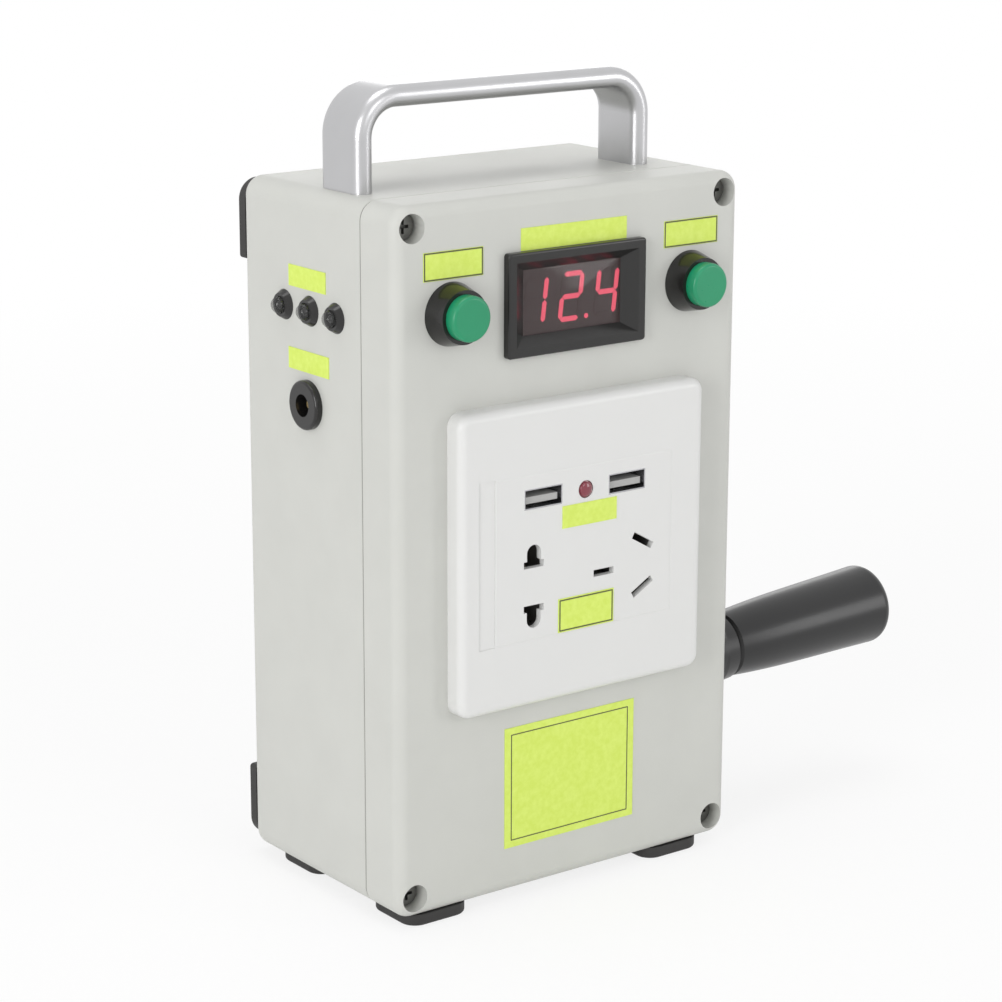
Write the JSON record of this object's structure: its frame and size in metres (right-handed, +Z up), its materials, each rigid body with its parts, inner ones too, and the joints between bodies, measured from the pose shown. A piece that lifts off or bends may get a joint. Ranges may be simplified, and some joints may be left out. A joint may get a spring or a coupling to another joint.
{
  "type": "hand crank generator",
  "caption": "Upright hand crank generator: grey case with carry handle, wall socket and charging ports, meter, push buttons and side crank.",
  "frame": {"origin": "on the floor, under the middle of the case's footprint", "axes": "+X towards the crank, +Y towards the back, +Z up"},
  "size_m": [0.2042, 0.0879, 0.232],
  "materials": {
    "case_grey": "satin moulded, fine texture",
    "black_rubber": "soft matt",
    "satin_aluminium": "satin anodised",
    "screw_black": "blackened",
    "steel": "bright zinc",
    "core_steel": "stacked sheets",
    "black_plastic": "semi-gloss moulded",
    "grip_black": "satin moulded",
    "cap_green": "satin, slightly clear",
    "plate_white": "semi-gloss moulded",
    "base_white": "moulded",
    "label_yellow": "printed film",
    "lamp_clear": "clear resin",
    "window_smoke": "smoky acrylic",
    "display_dark": "display face",
    "brass": "bright",
    "copper": "enamelled wire and copper bars",
    "port_metal": "pressed sheet",
    "gear_nylon": "moulded",
    "board_green": "lacquered board",
    "magnet_grey": "sintered",
    "carbon": "pressed carbon",
    "transformer_yellow": "taped winding on a core",
    "capacitor_black": "shrunk sleeve",
    "wire_red": "insulated wire"
  },
  "bodies": {
    "housing": {"rear_case": "case_grey", "front_cover": "case_grey", "bottom_feet": "black_rubber", "rear_feet": "black_rubber", "cover_gasket": "black_rubber", "carry_handle": "satin_aluminium", "heat_sink": "satin_aluminium", "cover_screws": "screw_black", "handle_screws": "steel", "handle_washers": "steel", "socket_screws": "steel", "gearbox_plates": "steel", "plate_spacers": "steel", "gearbox_screws": "steel", "board_screws": "steel", "left_button_spring": "steel", "right_button_spring": "steel", "generator_can": "steel", "meter_bezel": "black_plastic", "button_bodies": "black_plastic", "button_nuts": "black_plastic", "lamp_bezels": "black_plastic", "dc_jack": "black_plastic", "dc_jack_nut": "black_plastic", "generator_cap": "black_plastic", "socket_cover": "plate_white", "socket_panel": "plate_white", "socket_base": "base_white", "port_tongues": "base_white", "labels": "label_yellow", "lamp_leds": "lamp_clear", "meter_window": "window_smoke", "meter_display": "display_dark", "socket_contacts": "brass", "dc_jack_pin": "brass", "shaft_bushes": "brass", "port_shells": "port_metal", "meter_board": "board_green", "port_board": "board_green", "inverter_board": "board_green", "generator_magnets": "magnet_grey", "brushes": "carbon", "transformer": "transformer_yellow", "capacitors": "capacitor_black", "wires": "wire_red"},
    "crank": {"crank_arm": "grip_black", "crank_screw": "steel", "crank_shaft": "steel", "crank_gear": "gear_nylon", "grip_spindle": "steel"},
    "grip": {"grip": "grip_black"},
    "idler": {"idler_gear": "gear_nylon", "idler_axle": "steel"},
    "rotor": {"rotor_pinion": "brass", "rotor_core": "core_steel", "rotor_windings": "copper", "commutator": "copper", "rotor_shaft": "steel"},
    "left_button": {"left_button_cap": "cap_green"},
    "right_button": {"right_button_cap": "cap_green"}
  },
  "joints": [
    {"name": "crank_turn", "type": "hinge", "parent": "housing", "child": "crank", "pos_m": [0.06, 0.012, 0.105], "axis": [1, 0, 0], "continuous": true},
    {"name": "grip_spin", "type": "hinge", "parent": "crank", "child": "grip", "pos_m": [0.07769, -0.01367, 0.05259], "axis": [0.999, 0.0192, 0.0392], "continuous": true},
    {"name": "idler_spin", "type": "hinge", "parent": "housing", "child": "idler", "pos_m": [0.044, -0.00268, 0.08403], "axis": [1, 0, 0], "continuous": true},
    {"name": "rotor_spin", "type": "hinge", "parent": "housing", "child": "rotor", "pos_m": [0.02, 0.01399, 0.06677], "axis": [1, 0, 0], "continuous": true},
    {"name": "left_button_press", "type": "slide", "parent": "housing", "child": "left_button", "axis": [0, 1, 0], "range_m": [0, 0.003], "stiffness_N_per_m": 200, "springref_m": -0.004, "deforming": ["left_button_spring"]},
    {"name": "right_button_press", "type": "slide", "parent": "housing", "child": "right_button", "axis": [0, 1, 0], "range_m": [0, 0.003], "stiffness_N_per_m": 200, "springref_m": -0.004, "deforming": ["right_button_spring"]}
  ],
  "couplings": [
    {"joint": "idler_spin", "follows": "crank_turn", "ratio": -3},
    {"joint": "rotor_spin", "follows": "crank_turn", "ratio": 12}
  ]
}
